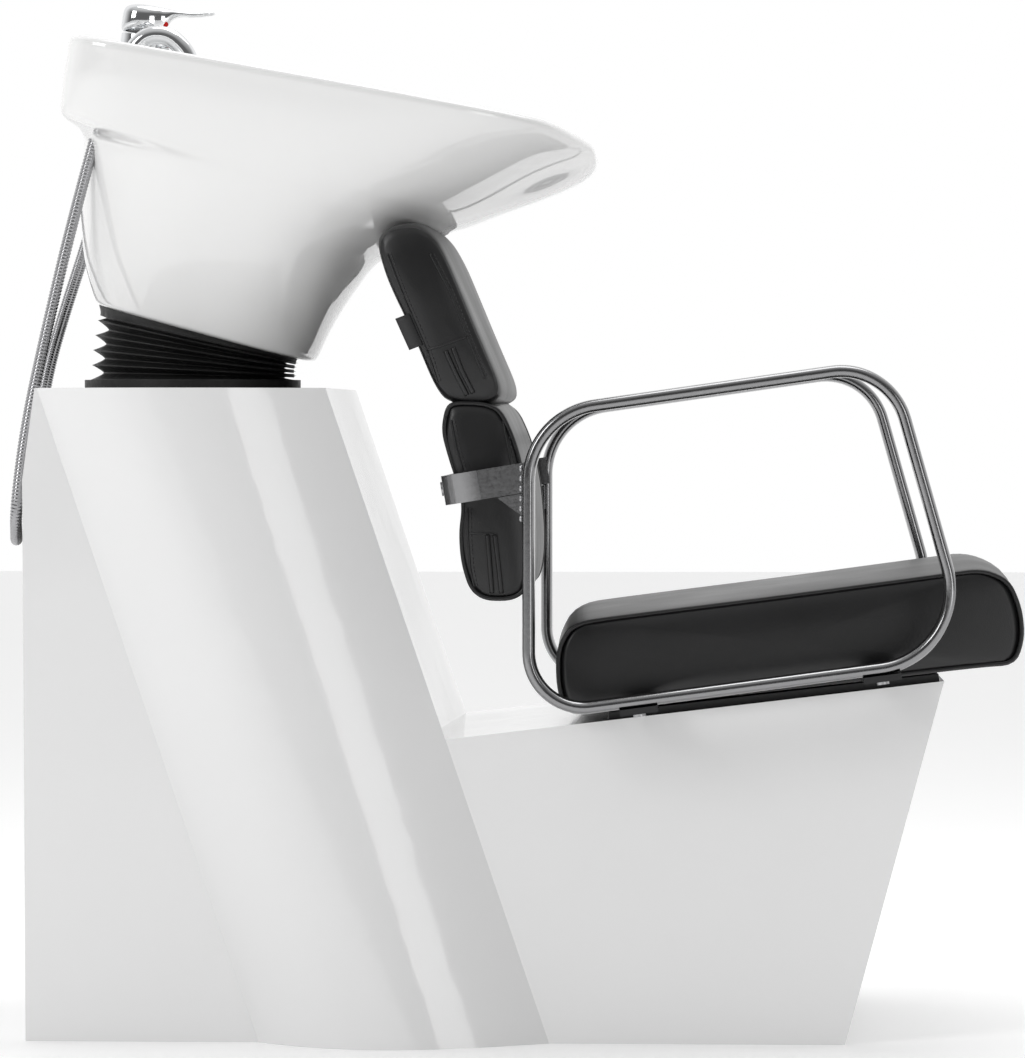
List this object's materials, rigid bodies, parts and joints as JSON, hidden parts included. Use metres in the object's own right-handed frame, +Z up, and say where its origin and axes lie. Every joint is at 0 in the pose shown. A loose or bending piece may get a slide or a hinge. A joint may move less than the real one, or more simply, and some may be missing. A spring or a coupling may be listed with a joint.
{
  "type": "shampoo backwash unit",
  "caption": "Salon backwash unit: tilting white ceramic bowl on a moulded base, with a black padded seat, looped steel armrests, mixer tap and spray hose.",
  "frame": {"origin": "centre of the bounding box on the floor, hoses left out", "axes": "+X the way the client faces, +Y the client's left, +Z up"},
  "size_m": [0.994, 0.588, 1.0114],
  "materials": {
    "white_shell": "glossy",
    "ceramic": "glossy",
    "black_leather": "satin",
    "rubber": "matte",
    "chrome": "polished",
    "dark_chrome": "polished",
    "steel": "satin",
    "painted_steel": "satin",
    "plastic": "matte",
    "brass": "satin",
    "board": "matte",
    "red_mark": "glossy"
  },
  "bodies": {
    "base": {"base_shell": "white_shell", "base_frame": "painted_steel", "lower_tilt_bracket": "steel", "bracket_bolts": "steel", "bracket_nuts": "steel", "pivot_pin": "steel", "pivot_nut": "steel", "bellows": "rubber", "bellows_base_ring": "rubber", "trap_body": "plastic", "trap_cup": "plastic", "trap_nut": "plastic", "inlet_bracket": "steel", "inlet_nipple_hot": "brass", "inlet_nipple_cold": "brass", "inlet_lock_nuts": "brass", "waste_hose": "plastic", "supply_hose_hot": "steel", "supply_hose_cold": "steel", "supply_union_nuts": "brass", "fixed_rail_left": "painted_steel", "fixed_rail_right": "painted_steel", "rail_screws": "steel"},
    "bowl": {"bowl": "ceramic", "upper_tilt_bracket": "steel", "drain_flange": "chrome", "drain_seal": "rubber", "drain_nut": "plastic", "drain_tail": "plastic", "mixer_body": "chrome", "mixer_base_ring": "chrome", "mixer_shank": "brass", "mixer_nut": "brass", "cartridge": "plastic", "handset_dock": "chrome", "shower_hose": "chrome", "shower_hose_ferrules": "chrome", "supply_top_nuts": "brass"},
    "lever_stem": {"lever_stem": "steel"},
    "lever": {"lever_handle": "chrome", "temperature_mark": "red_mark"},
    "handset": {"handset_body": "chrome", "spray_head": "chrome", "spray_face": "rubber"},
    "strainer": {"strainer": "chrome"},
    "seat": {"arm_loop_left": "dark_chrome", "arm_loop_right": "dark_chrome", "cross_bars": "painted_steel", "arm_bolts": "steel", "seat_board": "board", "seat_cushion": "black_leather", "runner_left": "painted_steel", "runner_right": "painted_steel", "backrest_board": "board", "backrest_upper_pad": "black_leather", "backrest_lower_pad": "black_leather", "backrest_strap": "dark_chrome", "strap_gussets": "dark_chrome", "strap_bolts": "steel"}
  },
  "joints": [
    {"name": "bowl_tilt", "type": "hinge", "parent": "base", "child": "bowl", "pos_m": [-0.305, 0, 0.652], "axis": [0, 1, 0], "range_deg": [-15, 0], "deforming": ["bellows", "waste_hose", "supply_hose_hot", "supply_hose_cold", "shower_hose"]},
    {"name": "lever_turn", "type": "hinge", "parent": "bowl", "child": "lever_stem", "pos_m": [-0.38645, 0, 0.98801], "axis": [0.1271, 0, 0.9919], "range_deg": [-45, 45]},
    {"name": "lever_lift", "type": "hinge", "parent": "lever_stem", "child": "lever", "pos_m": [-0.40673, 0, 0.98708], "axis": [0, -1, 0], "range_deg": [0, 12]},
    {"name": "handset_pull", "type": "slide", "parent": "bowl", "child": "handset", "axis": [0.1271, 0, 0.9919], "range_m": [0, 0.05]},
    {"name": "strainer_lift", "type": "slide", "parent": "bowl", "child": "strainer", "axis": [0.2622, 0, 0.965], "range_m": [0, 0.03]},
    {"name": "seat_slide", "type": "slide", "parent": "base", "child": "seat", "axis": [0.9929, 0, 0.1187], "range_m": [0, 0.045]}
  ]
}
